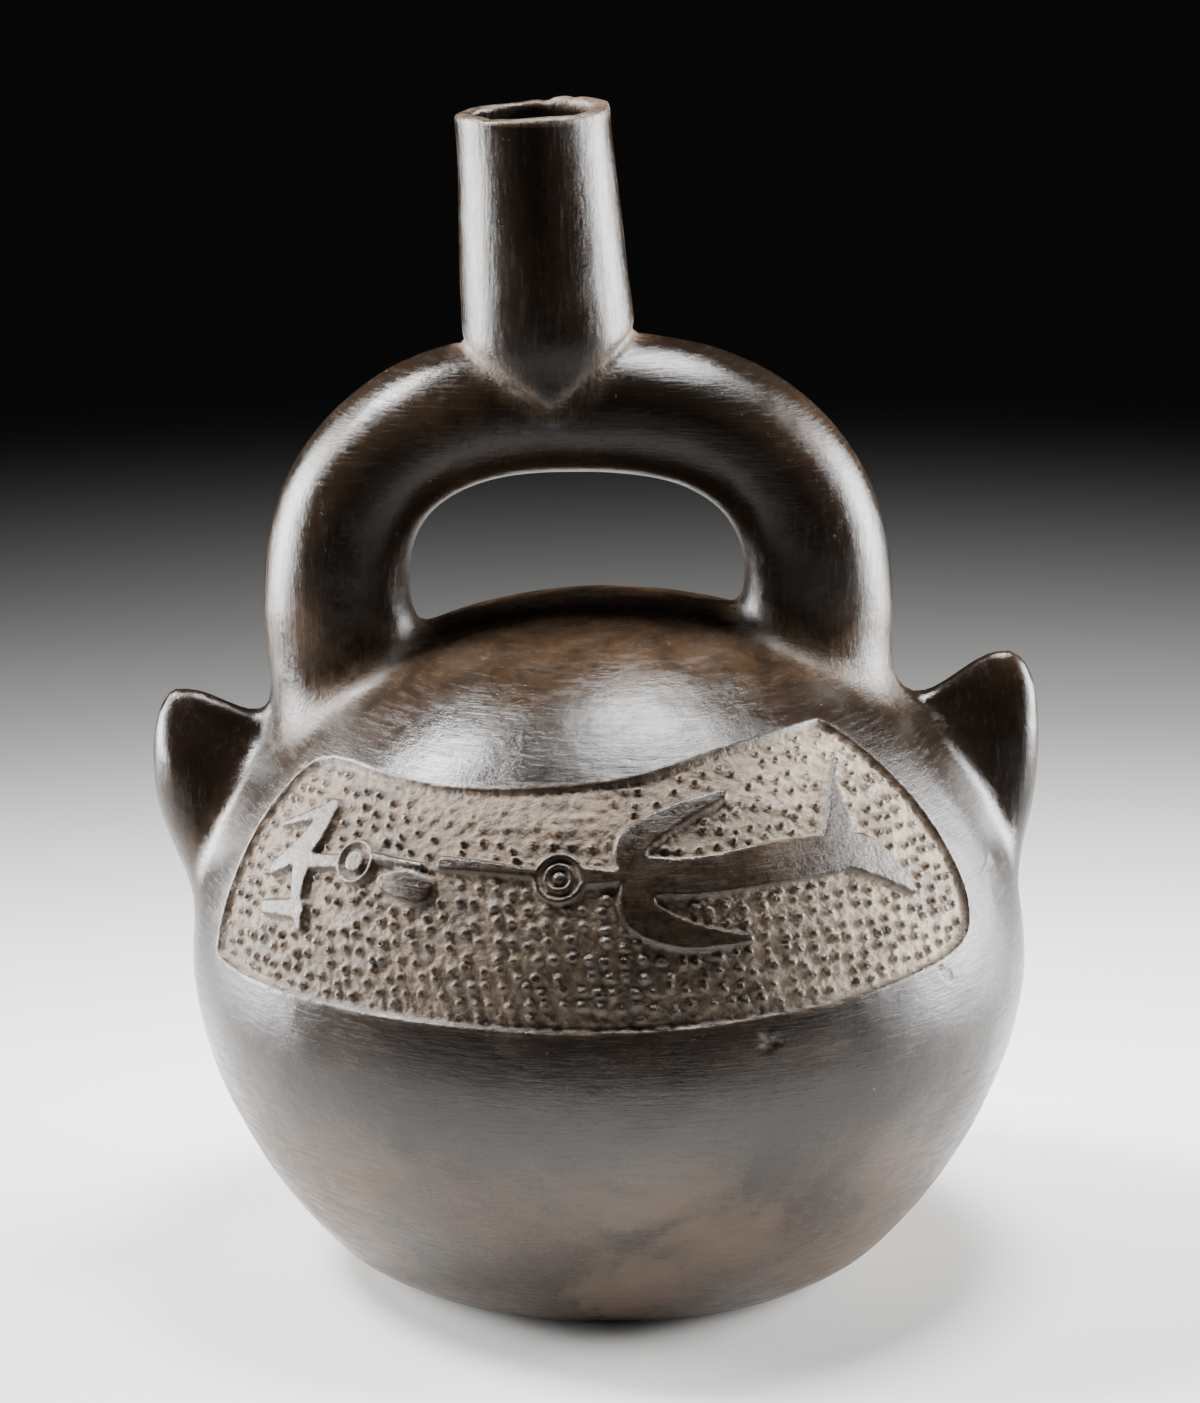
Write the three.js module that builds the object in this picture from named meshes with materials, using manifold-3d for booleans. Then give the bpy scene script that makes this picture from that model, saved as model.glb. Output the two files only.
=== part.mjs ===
// Stirrup spout vessel: a hollow blackware bottle, built up and fired as one piece of clay.
// A round body with a flattened underside carries two ear-like lugs on its sides, and a
// tubular stirrup handle that stands on the dome and opens into one short, leaning spout.
// Each half of the dome has a sunken panel with birds in low relief.
//
// Millimetres, +Z up. The origin is the middle of the flat that the vessel stands on.
// The stirrup lies in the X-Z plane and the front of the vessel faces -Y.
// Azimuths are degrees from the front, positive towards +X.

import * as THREE from "three";
import { mergeVertices } from "three/addons/utils/BufferGeometryUtils.js";
import Module from "manifold-3d";

// Body of revolution
const BODY_RADIUS = 75.5; // at the belly, the widest circle
const BELLY_HEIGHT = 55; // of the widest circle above the ground
const DOME_RISE = 67.2; // from the belly to the top of the dome
const DOME_POWER = 2.05; // 2 is an ellipse, more is squarer
const BOWL_DEPTH = 76.4; // of the curve below the belly, which the ground cuts off
const BOWL_POWER = 1.67;
const FOOT_RADIUS = 25; // of the flat on the ground
const FOOT_ROUNDING = 6; // height over which the wall turns into the flat
const BODY_WALL = 4.5;

// Stirrup handle
const STIRRUP_OFFSET = -5.6; // of the handle's middle from the body's axis
const STIRRUP_SPAN = 86; // between the middles of the two legs
const STIRRUP_CLEARANCE = 23.2; // between the top of the dome and the arch
const STIRRUP_SHOULDER = 36.5; // height of the curved part of the middle line
const STIRRUP_POWER = 2.5; // squareness of the arch
const LEG_WIDTH = 26.6; // across a leg, seen from the front
const CREST_WIDTH = 24.6; // across the top of the arch, seen from the front
const TUBE_DEPTH = 28; // of the handle from front to back
const TUBE_POWER = 2.5; // squareness of the tube on the side that faces the gap
const TUBE_WALL = 4;
const LEFT_FOOT_STEP = 2.5; // how far the left foot steps in under its leg
const FLARE_INNER = 3.5; // spread of a foot on the side that faces the gap
const FLARE_FRONT = 4.5; // spread of a foot at front and back
const FLARE_HEIGHT = 10;

// Spout
const SPOUT_OFFSET = -4.1; // of the spout from the handle's middle
const SPOUT_RISE = 39.5; // from the top of the arch to the rim
const SPOUT_BASE_RADIUS = 15.3;
const SPOUT_RIM_RADIUS = 13.85;
const SPOUT_LEAN = 4.2; // degrees towards -X
const SPOUT_WALL = 3.2;

// Lugs. Heights are above the belly, reaches are from the body's axis.
const LEFT_LUG = {
  side: -1,
  foot: 14,
  widest: 38,
  saddle: 44,
  tip: 51.2,
  reach: 82.1,
  tipReach: 76,
  power: 2,
  rootDepth: 16,
  noseDepth: 8.2,
  tipDepth: 2.6,
};
const RIGHT_LUG = {
  side: 1,
  foot: 19,
  widest: 39,
  saddle: 48.5,
  tip: 57.9,
  reach: 77.2,
  tipReach: 69,
  power: 2.6,
  rootDepth: 20.5,
  noseDepth: 5.6,
  tipDepth: 2.6,
};
const LUG_CURVE = 2.2; // how soon a lug's outer edge swings out above its foot
const LUG_SPREAD = 2.4; // of a lug's root over its nose
const LUG_FULLNESS = 0.42; // 0.5 gives straight flanks, less gives hollow ones
const LUG_NOSE_SHARE = 0.55; // most of a slice that its round nose takes

// Relief, as [azimuth, height above the belly]
const RELIEF_DEPTH = 1.3;
const PANEL = [
  [-63, 9], [-30, 9], [0, 9], [20, 10.4], [40, 12.3], [56, 15], [60.6, 21], [60, 30], [56.8, 42],
  [51, 51], [44, 52.3], [22, 50.7], [0, 47], [-30, 44.8], [-58, 45.2], [-65.5, 38.5], [-67.5, 24], [-67.5, 12],
];
const EYE_RADIUS = 4.4;
const EYE_GROOVE = 3.3;
const EYE_BOSS = 2.2;

// Birds: an eye, and strokes as knots of [azimuth, height above the belly, half width]
const FLYING_BIRD = {
  eye: [-7.3, 33.4],
  strokes: [
    [[-25.4, 34.3, 1.4], [-18.7, 34.4, 1.2], [-11, 34, 0.9]],
    [[-3.7, 33.8, 1.8], [2.4, 33.8, 1.1]],
    [[4.3, 33.6, 2.8], [3.6, 38.4, 2.9], [10, 42.2, 2.3], [19.9, 45, 1.1]],
    [[5.6, 33.8, 3.6], [13, 33.5, 3.5], [26.6, 34.5, 3.9], [35.5, 34.4, 3.6]],
    [[4.3, 33.6, 2.8], [4.6, 28, 3.3], [11, 24.5, 2.5], [19.8, 23.3, 0.8]],
    [[36.5, 34.5, 3.5], [39.7, 39, 2.8], [42.3, 44.2, 1], [46, 47, 0.7]],
    [[37, 34.8, 3.2], [43, 32.7, 3.7], [48.9, 26, 0.9]],
  ],
};
const PERCHED_BIRD = {
  eye: [-40.7, 32.2],
  strokes: [
    [[-37.5, 33.5, 0.8], [-29, 33.4, 0.8]],
    [[-34.4, 30.3, 1.6], [-31, 30.3, 2.8], [-28.4, 29.9, 2.8]],
    [[-43.5, 31.7, 1.3], [-50, 30.4, 1.5]],
    [[-50.4, 38.8, 2], [-51.8, 32.8, 2.7], [-57.5, 27.3, 1.3]],
    [[-51.2, 30.4, 2.6], [-50, 25, 1.6], [-47.8, 20, 1]],
    [[-48.9, 22.7, 1.9], [-56.6, 21.1, 1.4]],
    [[-51.5, 38.2, 1.4], [-59.9, 34.2, 0.7]],
  ],
};

// Fineness of the faceted surfaces
const BODY_SIDES = 52;
const BODY_RINGS = 20;
const CAVITY_SIDES = 28;
const CAVITY_RINGS = 12;
const TUBE_SIDES = 18;
const BORE_SIDES = 10;
const LEG_STEPS = 3;
const ARCH_STEPS = 14;
const SPOUT_SIDES = 26;
const NOSE_POINTS = 7;
const PANEL_POINTS = 46;
const STROKE_STEPS = 2;
const CAP_STEPS = 3;
const EYE_POINTS = 14;

const RADIANS = Math.PI / 180;
const DOME_TOP = BELLY_HEIGHT + DOME_RISE;
const CREST_HEIGHT = DOME_TOP + STIRRUP_CLEARANCE + CREST_WIDTH / 2; // of the handle's middle line
const SPRING_HEIGHT = CREST_HEIGHT - STIRRUP_SHOULDER; // where the legs turn into the arch
const BODY_CENTRE = new THREE.Vector3(0, 0, BELLY_HEIGHT);
const { clamp, lerp, smoothstep } = THREE.MathUtils;

// Solids

const wasm = await Module();
wasm.setup();

function solidOf(geometry) {
  const bare = geometry.clone();
  bare.deleteAttribute("normal");
  bare.deleteAttribute("uv");
  const merged = mergeVertices(bare, 1e-4);
  const faces = [];
  const index = merged.index.array;
  for (let i = 0; i < index.length; i += 3) {
    const [a, b, c] = index.slice(i, i + 3);
    if (a !== b && b !== c && c !== a) faces.push(a, b, c);
  }
  return new wasm.Manifold(
    new wasm.Mesh({
      numProp: 3,
      vertProperties: merged.attributes.position.array,
      triVerts: new Uint32Array(faces),
    }),
  );
}

function geometryOf(solid) {
  const { numVert, numProp, vertProperties, triVerts } = solid.getMesh();
  const positions = new Float32Array(numVert * 3);
  for (let i = 0; i < numVert; i++) {
    positions.set(vertProperties.subarray(i * numProp, i * numProp + 3), i * 3);
  }
  const geometry = new THREE.BufferGeometry();
  geometry.setAttribute("position", new THREE.BufferAttribute(positions, 3));
  geometry.setIndex(new THREE.BufferAttribute(new Uint32Array(triVerts), 1));
  return geometry;
}

function joined(solids) {
  return solids.reduce((whole, piece) => whole.add(piece));
}

// A closed skin over rings of equally many points, with a fan over each end. Seen from the
// last ring's side, the points of each ring run anticlockwise.
function loft(rings) {
  const sides = rings[0].length;
  const points = rings.flat();
  const faces = [];
  for (let k = 0; k + 1 < rings.length; k++) {
    for (let i = 0; i < sides; i++) {
      const a = k * sides + i;
      const b = k * sides + ((i + 1) % sides);
      faces.push(a, b, b + sides, a, b + sides, a + sides);
    }
  }
  const last = (rings.length - 1) * sides;
  for (const start of [0, last]) {
    const middle = points.length;
    const ring = rings[start / sides];
    points.push(ring.reduce((sum, p) => sum.add(p), new THREE.Vector3()).divideScalar(sides));
    for (let i = 0; i < sides; i++) {
      const a = start + i;
      const b = start + ((i + 1) % sides);
      faces.push(middle, start === 0 ? b : a, start === 0 ? a : b);
    }
  }
  return solidOf(new THREE.BufferGeometry().setFromPoints(points).setIndex(faces));
}

function turned(profile, sides) {
  return new THREE.LatheGeometry(profile, sides).rotateX(Math.PI / 2);
}

// Body

function quarterCurve(share, power) {
  return Math.max(0, 1 - share ** power) ** (1 / power);
}

function bodyRadius(height) {
  if (height > BELLY_HEIGHT) {
    return BODY_RADIUS * quarterCurve((height - BELLY_HEIGHT) / DOME_RISE, DOME_POWER);
  }
  const radius = BODY_RADIUS * quarterCurve((BELLY_HEIGHT - height) / BOWL_DEPTH, BOWL_POWER);
  const wallAtGround = BODY_RADIUS * quarterCurve(BELLY_HEIGHT / BOWL_DEPTH, BOWL_POWER);
  const underRounding = clamp(1 - height / FOOT_ROUNDING, 0, 1);
  return radius - (wallAtGround - FOOT_RADIUS) * (1 - Math.sqrt(1 - underRounding ** 2));
}

function domeHeight(radius) {
  return BELLY_HEIGHT + DOME_RISE * quarterCurve(Math.min(radius / BODY_RADIUS, 1), DOME_POWER);
}

// The turned body, with its whole surface moved inwards by the inset.
function body(sides, rings, inset) {
  const nudge = 0.01;
  const profile = [];
  for (let i = 0; i < rings; i++) {
    const height = (DOME_TOP * (1 - Math.cos((Math.PI * i) / rings))) / 2;
    const below = Math.max(height - nudge, 0);
    const along = new THREE.Vector2(bodyRadius(height + nudge) - bodyRadius(below), height + nudge - below);
    along.normalize();
    const moved = new THREE.Vector2(bodyRadius(height) - along.y * inset, height + along.x * inset);
    if (moved.y >= inset && moved.x > 0) profile.push(moved);
  }
  if (profile[0].y > inset) profile.unshift(new THREE.Vector2(FOOT_RADIUS, inset));
  const points = [new THREE.Vector2(0, inset), ...profile, new THREE.Vector2(0, DOME_TOP - inset)];
  return solidOf(turned(points, sides));
}

// Stirrup handle: one tube from foot to foot, both feet sunk into the body

function stirrupLine() {
  const middle = STIRRUP_SPAN / 2;
  const places = [];
  for (let i = 0; i <= ARCH_STEPS; i++) {
    const turn = Math.PI * (1 - i / ARCH_STEPS);
    const across = Math.sign(Math.cos(turn)) * Math.abs(Math.cos(turn)) ** (2 / STIRRUP_POWER);
    const up = Math.abs(Math.sin(turn)) ** (2 / STIRRUP_POWER);
    places.push([middle * across, SPRING_HEIGHT + STIRRUP_SHOULDER * up]);
  }
  for (const side of [-1, 1]) {
    const edge = Math.abs(STIRRUP_OFFSET + side * middle) + LEG_WIDTH / 2;
    const bottom = domeHeight(edge) - 3 * BODY_WALL;
    const step = side < 0 ? LEFT_FOOT_STEP : 0;
    for (let i = 1; i <= LEG_STEPS; i++) {
      const share = i / LEG_STEPS;
      const place = [side * (middle - step * smoothstep(share, 0, 1)), lerp(SPRING_HEIGHT, bottom, share)];
      if (side < 0) places.unshift(place);
      else places.push(place);
    }
  }
  return places.map(([x, z]) => new THREE.Vector3(STIRRUP_OFFSET + x, 0, z));
}

// How far a point is outside the dome.
function aboveDome(point) {
  const radius = Math.hypot(point.x, point.y);
  const slope = domeHeight(radius) - domeHeight(radius + 1);
  return (point.z - domeHeight(radius)) / Math.hypot(1, slope);
}

// The handle's tube, made smaller all round by the inset.
function tube(sides, inset) {
  const line = stirrupLine();
  const frontward = new THREE.Vector3(0, -1, 0);
  const rings = line.map((centre, k) => {
    const along = line[Math.min(k + 1, line.length - 1)].clone().sub(line[Math.max(k - 1, 0)]).normalize();
    const outward = frontward.clone().cross(along);
    const rise = clamp((centre.z - SPRING_HEIGHT) / STIRRUP_SHOULDER, 0, 1);
    const halfWidth = lerp(LEG_WIDTH, CREST_WIDTH, rise) / 2 - inset;
    const halfDepth = TUBE_DEPTH / 2 - inset;
    const ring = [];
    for (let i = 0; i < sides; i++) {
      const turn = (2 * Math.PI * i) / sides;
      const power = Math.cos(turn) < 0 ? 2 / TUBE_POWER : 1;
      const out = Math.sign(Math.cos(turn)) * Math.abs(Math.cos(turn)) ** power;
      const front = Math.sign(Math.sin(turn)) * Math.abs(Math.sin(turn)) ** power;
      const plain = centre.clone().addScaledVector(outward, out * halfWidth);
      plain.addScaledVector(frontward, front * halfDepth);
      const nearDome = inset > 0 ? 0 : (1 - clamp(aboveDome(plain) / FLARE_HEIGHT, 0, 1)) ** 2;
      plain.addScaledVector(outward, Math.min(out, 0) * FLARE_INNER * nearDome);
      ring.push(plain.addScaledVector(frontward, front * FLARE_FRONT * nearDome));
    }
    return ring;
  });
  return loft(rings);
}

// Spout: a leaning pipe whose foot is as deep as the handle, so that the two meet in a V

function placedSpout(profile) {
  const lathe = turned(profile, SPOUT_SIDES).rotateY(-SPOUT_LEAN * RADIANS);
  return solidOf(lathe.translate(STIRRUP_OFFSET + SPOUT_OFFSET, 0, CREST_HEIGHT));
}

const SPOUT_TOP = CREST_WIDTH / 2 + SPOUT_RISE; // of the rim above the handle's middle line

function spout() {
  const rounding = SPOUT_WALL / 2;
  const profile = [new THREE.Vector2(0, 0)];
  for (const share of [0, 0.35, 0.7, 1]) {
    const radius = lerp(TUBE_DEPTH / 2, SPOUT_BASE_RADIUS, smoothstep(share, 0, 1));
    profile.push(new THREE.Vector2(radius, (share * CREST_WIDTH) / 2));
  }
  profile.push(new THREE.Vector2((SPOUT_BASE_RADIUS + SPOUT_RIM_RADIUS) / 2, SPOUT_TOP - SPOUT_RISE / 2));
  for (const turn of [0, 45, 90]) {
    profile.push(
      new THREE.Vector2(
        SPOUT_RIM_RADIUS - rounding * (1 - Math.cos(turn * RADIANS)),
        SPOUT_TOP - rounding * (1 - Math.sin(turn * RADIANS)),
      ),
    );
  }
  profile.push(new THREE.Vector2(0, SPOUT_TOP));
  return placedSpout(profile);
}

function spoutBore() {
  const throat = SPOUT_BASE_RADIUS - SPOUT_WALL - 1;
  const bore = SPOUT_RIM_RADIUS - SPOUT_WALL;
  const lip = SPOUT_RIM_RADIUS - SPOUT_WALL / 2;
  const beyond = SPOUT_TOP + 1;
  const profile = [
    [0, 0], [throat, 0], [throat, CREST_WIDTH / 2], [bore, SPOUT_TOP - SPOUT_WALL / 2],
    [lip, SPOUT_TOP], [lip, beyond], [0, beyond],
  ];
  return placedSpout(profile.map(([radius, height]) => new THREE.Vector2(radius, height)));
}

// Lugs: level slices from foot to tip. A slice is a wedge with a round nose and a wide root
// that is hidden in the body's wall. Above the saddle the root shrinks to the upper edge.
function lug({ side, foot, widest, saddle, tip, reach, tipReach, power, rootDepth, noseDepth, tipDepth }) {
  const shares = [0, 0.08, 0.2, 0.35, 0.5, 0.63, 0.73, 0.81, 0.88, 0.94, 0.98, 1];
  const saddleReach = bodyRadius(BELLY_HEIGHT + saddle) - BODY_WALL / 2;
  const rings = shares.map((share) => {
    const rise = lerp(foot, tip, share);
    const wall = bodyRadius(BELLY_HEIGHT + rise);
    const toWidest = clamp((rise - foot) / (widest - foot), 0, 1);
    const toTip = clamp((rise - widest) / (tip - widest), 0, 1);
    const overSaddle = clamp((rise - saddle) / (tip - saddle), 0, 1);
    const nose = rise < widest
      ? lerp(bodyRadius(BELLY_HEIGHT + foot), reach, 1 - (1 - toWidest) ** LUG_CURVE)
      : lerp(tipReach, reach, quarterCurve(toTip, power));
    const swell = rise < saddle ? Math.sin((Math.PI * (rise - foot)) / (saddle - foot)) ** 0.5 : 0;
    const root = lerp(tipDepth, rootDepth, swell);
    const hidden = Math.sqrt(wall ** 2 - root ** 2) - BODY_WALL / 2;
    const inner = rise < saddle ? hidden : lerp(saddleReach, tipReach - tipDepth / 2, overSaddle);
    const round = Math.min(lerp(noseDepth, tipDepth, toTip ** 2), (nose - inner) * LUG_NOSE_SHARE);
    const spread = Math.min(root, round * LUG_SPREAD);
    const ring = [];
    for (let i = 0; i < NOSE_POINTS; i++) {
      const turn = Math.PI * (i / (NOSE_POINTS - 1) - 0.5);
      ring.push([nose - round + round * Math.cos(turn), round * Math.sin(turn)]);
    }
    const flank = [lerp(nose - round, inner, 0.5), lerp(round, spread, LUG_FULLNESS)];
    ring.push(flank, [inner, spread], [inner, -spread], [flank[0], -flank[1]]);
    return ring.map(([x, y]) => new THREE.Vector3(side * x, side * y, BELLY_HEIGHT + rise));
  });
  return loft(rings);
}

// Relief

// A point on the body, from its azimuth and its height above the belly.
function onBody(azimuth, rise) {
  const radius = bodyRadius(BELLY_HEIGHT + rise);
  const turn = azimuth * RADIANS;
  return new THREE.Vector3(radius * Math.sin(turn), -radius * Math.cos(turn), BELLY_HEIGHT + rise);
}

// The solid between rays from the body's centre through a closed outline.
function rays(outline) {
  const arms = outline.map((p) => p.clone().sub(BODY_CENTRE));
  const facing = arms.reduce((sum, arm) => sum.add(arm), new THREE.Vector3()).normalize();
  const across = new THREE.Vector3(0, 0, 1).cross(facing).normalize();
  const up = facing.clone().cross(across);
  const flatten = (arm) => new THREE.Vector2(arm.dot(across), arm.dot(up)).divideScalar(arm.dot(facing));
  if (THREE.ShapeUtils.area(arms.map(flatten)) < 0) arms.reverse();
  const near = 0.5;
  const far = 3; // the flat outer end stays clear of the round body
  const points = [far, near].flatMap((reach) =>
    arms.map((arm) => arm.clone().multiplyScalar(reach).add(BODY_CENTRE)),
  );
  const count = arms.length;
  const faces = [];
  for (const [a, b, c] of THREE.ShapeUtils.triangulateShape(arms.map(flatten), [])) {
    faces.push(a, b, c, count + a, count + c, count + b);
  }
  for (let i = 0; i < count; i++) {
    const next = (i + 1) % count;
    faces.push(i, count + i, count + next, i, count + next, next);
  }
  return solidOf(new THREE.BufferGeometry().setFromPoints(points).setIndex(faces));
}

// The outline of a stroke: a band of changing width with round ends.
function strokeOutline(knots, spot) {
  const line = new THREE.CatmullRomCurve3(knots.map(([azimuth, rise]) => spot(azimuth, rise)));
  const spans = knots.length - 1;
  const steps = spans * STROKE_STEPS;
  const left = [];
  const right = [];
  const caps = [];
  for (let i = 0; i <= steps; i++) {
    const span = Math.min(Math.floor(i / STROKE_STEPS), spans - 1);
    const half = lerp(knots[span][2], knots[span + 1][2], i / STROKE_STEPS - span);
    const point = line.getPoint(i / steps);
    const along = line.getTangent(i / steps);
    const across = point.clone().sub(BODY_CENTRE).normalize().cross(along).normalize();
    left.push(point.clone().addScaledVector(across, half));
    right.unshift(point.clone().addScaledVector(across, -half));
    if (i > 0 && i < steps) continue;
    const away = i === 0 ? -1 : 1;
    const cap = [];
    for (let c = 1; c < CAP_STEPS; c++) {
      const turn = (Math.PI * c) / CAP_STEPS;
      const end = point.clone().addScaledVector(across, away * half * Math.cos(turn));
      cap.push(end.addScaledVector(along, away * half * Math.sin(turn)));
    }
    caps.push(cap);
  }
  return [...left, ...caps[1], ...right, ...caps[0]];
}

function discOutline(centre, radius) {
  const facing = centre.clone().sub(BODY_CENTRE).normalize();
  const across = new THREE.Vector3(0, 0, 1).cross(facing).normalize();
  const up = facing.clone().cross(across);
  const outline = [];
  for (let i = 0; i < EYE_POINTS; i++) {
    const turn = (2 * Math.PI * i) / EYE_POINTS;
    const point = centre.clone().addScaledVector(across, radius * Math.cos(turn));
    outline.push(point.addScaledVector(up, radius * Math.sin(turn)));
  }
  return outline;
}

function bird({ eye, strokes }, spot) {
  const disc = (radius) => rays(discOutline(spot(...eye), radius));
  const shape = joined([disc(EYE_RADIUS), ...strokes.map((knots) => rays(strokeOutline(knots, spot)))]);
  return shape.subtract(disc(EYE_GROOVE)).add(disc(EYE_BOSS));
}

function panel(spot) {
  const line = new THREE.CatmullRomCurve3(PANEL.map(([azimuth, rise]) => spot(azimuth, rise)), true);
  const outline = [];
  for (let i = 0; i < PANEL_POINTS; i++) outline.push(line.getPoint(i / PANEL_POINTS));
  return rays(outline);
}

// The vessel

const frontSpot = onBody;
const backSpot = (azimuth, rise) => onBody(180 - azimuth, rise);
const wholeBody = body(BODY_SIDES, BODY_RINGS, 0);
const panels = panel(frontSpot).add(panel(backSpot));
const birds = joined([bird(FLYING_BIRD, frontSpot), bird(PERCHED_BIRD, frontSpot), bird(FLYING_BIRD, backSpot)]);
const carvedBody = wholeBody
  .subtract(panels.subtract(birds))
  .add(body(BODY_SIDES, BODY_RINGS, RELIEF_DEPTH));
const inside = joined([body(CAVITY_SIDES, CAVITY_RINGS, BODY_WALL), tube(BORE_SIDES, TUBE_WALL), spoutBore()]);
const outside = joined([carvedBody, tube(TUBE_SIDES, 0), spout(), lug(LEFT_LUG), lug(RIGHT_LUG)]);

const clay = new THREE.MeshStandardMaterial({ color: 0x2b231d, roughness: 0.38, metalness: 0 });
const vessel = new THREE.Mesh(geometryOf(outside.subtract(inside)), clay);
vessel.name = "vessel";

const group = new THREE.Group();
group.add(vessel);

export default group;
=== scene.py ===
"""Stirrup spout vessel: burnished dark clay with birds in low relief, and a plain studio."""

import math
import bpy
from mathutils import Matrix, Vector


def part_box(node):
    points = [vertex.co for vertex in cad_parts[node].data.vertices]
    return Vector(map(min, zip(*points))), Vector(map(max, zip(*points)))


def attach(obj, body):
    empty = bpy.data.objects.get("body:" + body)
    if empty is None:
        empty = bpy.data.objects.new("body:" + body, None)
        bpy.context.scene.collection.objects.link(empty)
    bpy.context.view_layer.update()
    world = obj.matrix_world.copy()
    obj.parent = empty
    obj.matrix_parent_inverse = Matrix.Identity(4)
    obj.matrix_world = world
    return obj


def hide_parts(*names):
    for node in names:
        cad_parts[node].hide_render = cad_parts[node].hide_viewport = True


bl_info = {
    "name": "Stirrup Spout Vessel",
    "version": (1, 0, 0),
    "blender": (4, 5, 0),
    "location": "View3D > Sidebar > Vessel",
    "description": "Models a hand-built stirrup spout vessel and the studio it stands in",
    "category": "Add Mesh",
}

import bmesh
import bpy
import numpy as np
from bpy.props import FloatProperty, FloatVectorProperty, IntProperty, PointerProperty
from mathutils import Vector, noise

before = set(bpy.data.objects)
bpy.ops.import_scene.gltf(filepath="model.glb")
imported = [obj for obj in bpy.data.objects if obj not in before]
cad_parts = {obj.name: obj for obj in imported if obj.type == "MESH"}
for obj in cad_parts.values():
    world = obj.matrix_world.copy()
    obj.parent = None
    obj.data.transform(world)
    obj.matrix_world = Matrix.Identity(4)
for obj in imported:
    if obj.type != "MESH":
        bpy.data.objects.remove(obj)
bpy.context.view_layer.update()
LOW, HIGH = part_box("vessel")
MM = 0.001

# Shape in millimetres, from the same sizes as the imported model
BELLY_RADIUS = (HIGH[1] - LOW[1]) / 2 / MM
BELLY_HEIGHT = 55.0
DOME_RISE = 67.2
DOME_POWER = 2.05
BOWL_DEPTH = 76.4
BOWL_POWER = 1.67
GROUND_ROUNDING = 10.0
BODY_WALL = 4.5

STIRRUP_MIDDLE = -5.6
STIRRUP_SPAN = 86.0
CREST_HEIGHT = 157.7
STIRRUP_SHOULDER = 36.5
STIRRUP_POWER = 2.5
LEG_WIDTH = 26.6
CREST_WIDTH = 24.6
TUBE_DEPTH = 28.0
TUBE_INNER_POWER = 2.5
TUBE_WALL = 4.0
LEFT_FOOT_STEP = 2.5

SPOUT_MIDDLE = STIRRUP_MIDDLE - 4.1
SPOUT_TOP = 51.8
SPOUT_BASE_RADIUS = 15.3
SPOUT_RIM_RADIUS = 13.85
SPOUT_LEAN = math.radians(4.2)
SPOUT_WALL = 3.2
RIM_HEIGHT = CREST_HEIGHT + SPOUT_TOP
CREASE_SPREAD = 1.3

# Chips of the rim, as (angle round the spout, width of the angle, depth)
RIM_CHIPS = [(1.38, 0.08, 0.55), (0.95, 0.06, 0.3), (-2.2, 0.09, 0.25)]

# A lug's heights are above the ground, and its reaches are from the body's axis
LUGS = [
    {
        "side": -1, "foot": 69.0, "widest": 93.0, "saddle": 98.6, "tip": 106.2,
        "reach": 82.1, "tip_reach": 76.0, "power": 2.0,
        "nose": 8.0, "flank": 0.1, "top_edge": 3.0, "top_flank": 0.75,
    },
    {
        "side": 1, "foot": 73.0, "widest": 94.0, "saddle": 102.8, "tip": 112.9,
        "reach": 77.2, "tip_reach": 69.0, "power": 2.6,
        "nose": 5.6, "flank": 0.15, "top_edge": 2.6, "top_flank": 0.6,
    },
]

# Outline of the relief panel, as (azimuth in degrees from the front, height above the belly)
PANEL = [
    (-63, 9), (-30, 9), (0, 9), (20, 10.4), (40, 12.3), (56, 15), (60.6, 21), (60, 30), (56.8, 42),
    (51, 51), (44, 52.3), (22, 50.7), (0, 47), (-30, 44.8), (-58, 45.2), (-65.5, 38.5), (-67.5, 24),
    (-67.5, 12),
]
# No part of a panel is this high above the belly
PANEL_TOP = 58.0

# Birds, with strokes of (azimuth, height above the belly, half width) and eye rings of (radius, half width)
FLYING_BIRD = {
    "eye": (-7.3, 33.4), "rings": [(4.0, 0.45), (2.2, 0.42)], "pupil": 1.0,
    "strokes": [
        [(-25.4, 34.3, 1.4), (-18.7, 34.4, 1.2), (-11, 34, 0.9)],
        [(-3.7, 33.8, 1.8), (2.4, 33.8, 1.1)],
        [(4.3, 33.6, 2.8), (3.6, 38.4, 2.9), (10, 42.2, 2.3), (19.9, 45, 1.1)],
        [(5.6, 33.8, 3.6), (13, 33.5, 3.5), (26.6, 34.5, 3.9), (35.5, 34.4, 3.6)],
        [(4.3, 33.6, 2.8), (4.6, 28, 3.3), (11, 24.5, 2.5), (19.8, 23.3, 0.8)],
        [(36.5, 34.5, 3.5), (39.7, 39, 2.8), (42.3, 44.2, 1), (46, 47, 0.7)],
        [(37, 34.8, 3.2), (43, 32.7, 3.7), (48.9, 26, 0.9)],
    ],
}
PERCHED_BIRD = {
    "eye": (-40.7, 32.2), "rings": [(3.6, 0.5)], "pupil": 2.1,
    "strokes": [
        [(-37.5, 33.5, 0.8), (-29, 33.4, 0.8)],
        [(-34.4, 30.3, 1.6), (-31, 30.3, 2.8), (-28.4, 29.9, 2.8)],
        [(-43.5, 31.7, 1.3), (-50, 30.4, 1.5)],
        [(-50.4, 38.8, 2), (-51.8, 32.8, 2.7), (-57.5, 27.3, 1.3)],
        [(-51.2, 30.4, 2.6), (-50, 25, 1.6), (-47.8, 20, 1)],
        [(-48.9, 22.7, 1.9), (-56.6, 21.1, 1.4)],
        [(-51.5, 38.2, 1.4), (-59.9, 34.2, 0.7)],
    ],
}

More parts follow.
